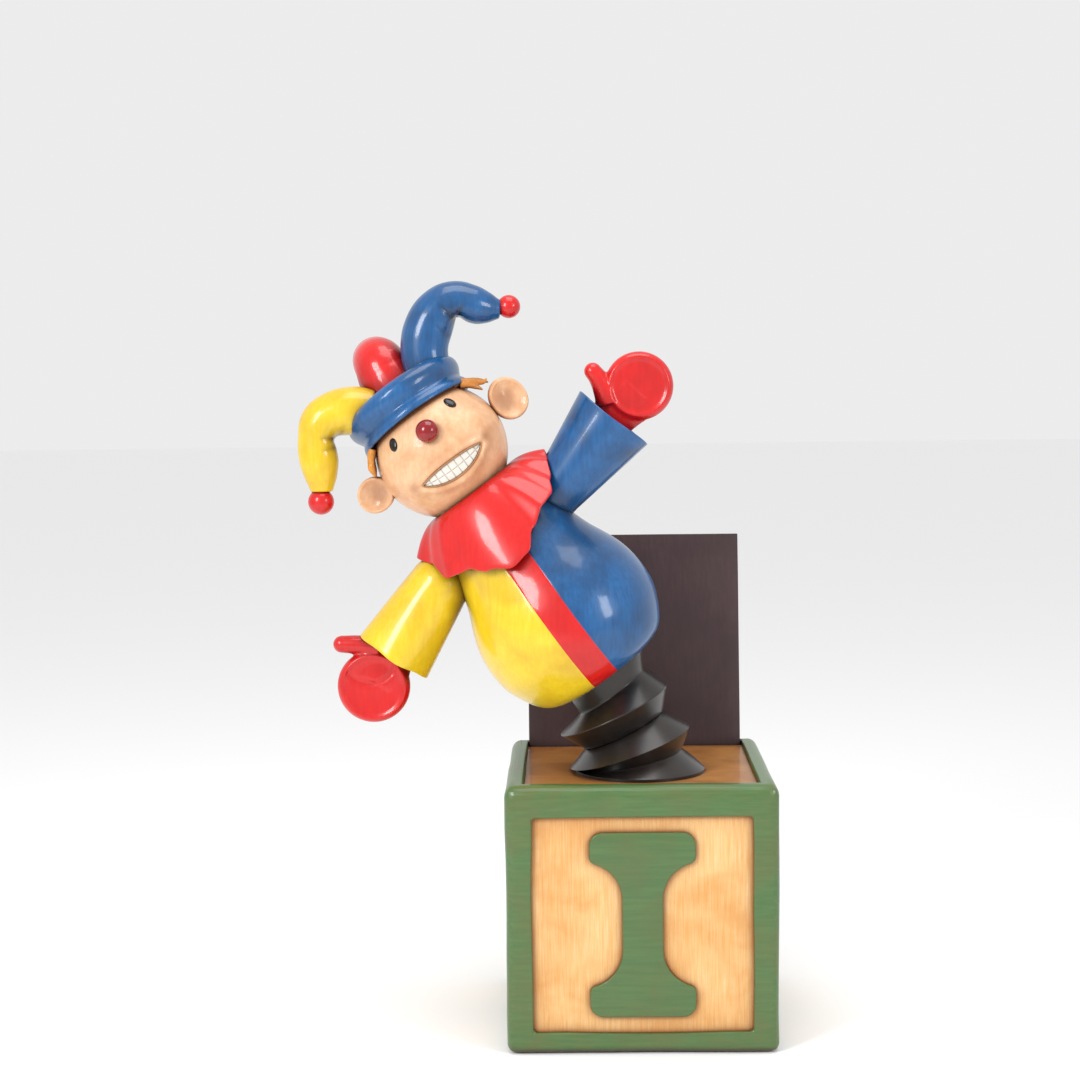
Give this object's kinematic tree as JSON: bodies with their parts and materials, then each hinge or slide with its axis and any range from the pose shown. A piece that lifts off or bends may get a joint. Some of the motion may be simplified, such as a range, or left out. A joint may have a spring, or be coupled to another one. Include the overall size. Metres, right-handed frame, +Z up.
{
  "type": "jack in the box",
  "caption": "Floor-standing display jack in the box: a leaning sprung jester on a black bellows above a framed alphabet-block box with a hinged lid at the rear.",
  "frame": {"origin": "centre of the box's underside, on the floor", "axes": "+Z up, the front with the figure's face looks along -Y, +X to the viewer's right"},
  "size_m": [0.9567, 0.5789, 1.5303],
  "materials": {
    "frame_green": "satin sage-green paint with a brown glaze in the corners and fine brush marks",
    "panel_tan": "satin cream-tan paint with upright brush streaks and an orange-brown stain at the edges",
    "plate_green": "satin sage-green paint, brushed across, with worn edges",
    "deck_tan": "satin tan paint with a warm brown stain",
    "base_ply": "bare plywood",
    "ballast": "cast concrete block",
    "steel": "plain steel",
    "spring_steel": "coiled spring wire",
    "bellows_black": "near-black, satin",
    "lid_brown": "dark aubergine-brown satin paint",
    "alloy": "plain",
    "yellow": "gloss yellow with ochre glaze in the creases",
    "blue": "gloss blue with darker brushed glaze",
    "red": "gloss red with a dark glaze",
    "skin": "satin peach with a brown glaze",
    "nose_red": "high-gloss dark red",
    "eye_black": "high-gloss black",
    "tooth_white": "satin off-white",
    "lip_brown": "satin brown-peach",
    "hair_orange": "satin orange-brown"
  },
  "bodies": {
    "box": {"corner_post_front_left": "frame_green", "corner_post_front_right": "frame_green", "corner_post_rear_left": "frame_green", "corner_post_rear_right": "frame_green", "top_rail_front": "frame_green", "top_rail_rear": "frame_green", "top_rail_left": "frame_green", "top_rail_right": "frame_green", "bottom_rail_front": "frame_green", "bottom_rail_rear": "frame_green", "bottom_rail_left": "frame_green", "bottom_rail_right": "frame_green", "panel_front": "panel_tan", "panel_rear": "panel_tan", "panel_left": "panel_tan", "panel_right": "panel_tan", "plate_front": "plate_green", "plate_rear": "plate_green", "plate_left": "plate_green", "plate_right": "plate_green", "deck_panel": "deck_tan", "base_panel": "base_ply", "ballast_block": "ballast", "support_tube": "steel", "pivot_bracket": "steel", "bracket_bolts": "steel", "bellows_lower": "bellows_black", "lid_rod": "steel", "pivot_pin": "steel"},
    "lid": {"lid_panel": "lid_brown"},
    "post": {"guide_post": "steel", "coil_spring": "spring_steel"},
    "figure": {"guide_sleeve": "alloy", "waist_plate": "alloy", "neck_spigot": "alloy", "torso_left": "yellow", "torso_right": "blue", "torso_stripe": "red", "collar": "red", "shoulder_peg_left": "steel", "shoulder_peg_right": "steel", "bellows_upper": "bellows_black"},
    "head": {"head_shell": "skin", "ear_left": "skin", "ear_right": "skin", "nose": "nose_red", "eyes": "eye_black", "teeth": "tooth_white", "lip_ring": "lip_brown", "hair_tufts": "hair_orange", "hat_band": "blue", "hat_crown": "red", "horn_left": "yellow", "horn_right": "blue", "horn_rear": "red", "bobbles": "red"},
    "left_arm": {"sleeve_left": "yellow", "glove_left": "red"},
    "right_arm": {"sleeve_right": "blue", "glove_right": "red"}
  },
  "joints": [
    {"name": "lid_hinge", "type": "hinge", "parent": "box", "child": "lid", "pos_m": [0, 0.248, 0.514], "axis": [1, 0, 0], "range_deg": [0, 14]},
    {"name": "sway", "type": "hinge", "parent": "box", "child": "post", "pos_m": [0.017, -0.04, 0.618], "axis": [0, 1, 0], "range_deg": [-8, 24], "stiffness_Nm_per_rad": 900, "springref_deg": 2.99, "deforming": ["bellows_lower"]},
    {"name": "bounce", "type": "slide", "parent": "post", "child": "figure", "axis": [-0.5878, 0, 0.809], "range_m": [-0.02, 0.03], "stiffness_N_per_m": 4000, "springref_m": 0.0285, "deforming": ["coil_spring", "bellows_upper"]},
    {"name": "head_turn", "type": "hinge", "parent": "figure", "child": "head", "pos_m": [-0.39504, -0.04, 1.18512], "axis": [-0.5878, 0, 0.809], "range_deg": [-35, 35]},
    {"name": "left_shoulder", "type": "hinge", "parent": "figure", "child": "left_arm", "pos_m": [-0.40454, -0.04, 0.90999], "axis": [-0.5548, 0, -0.832], "range_deg": [-40, 40]},
    {"name": "right_shoulder", "type": "hinge", "parent": "figure", "child": "right_arm", "pos_m": [-0.16352, -0.04, 1.0987], "axis": [0.6225, 0, 0.7826], "range_deg": [-40, 40]}
  ]
}
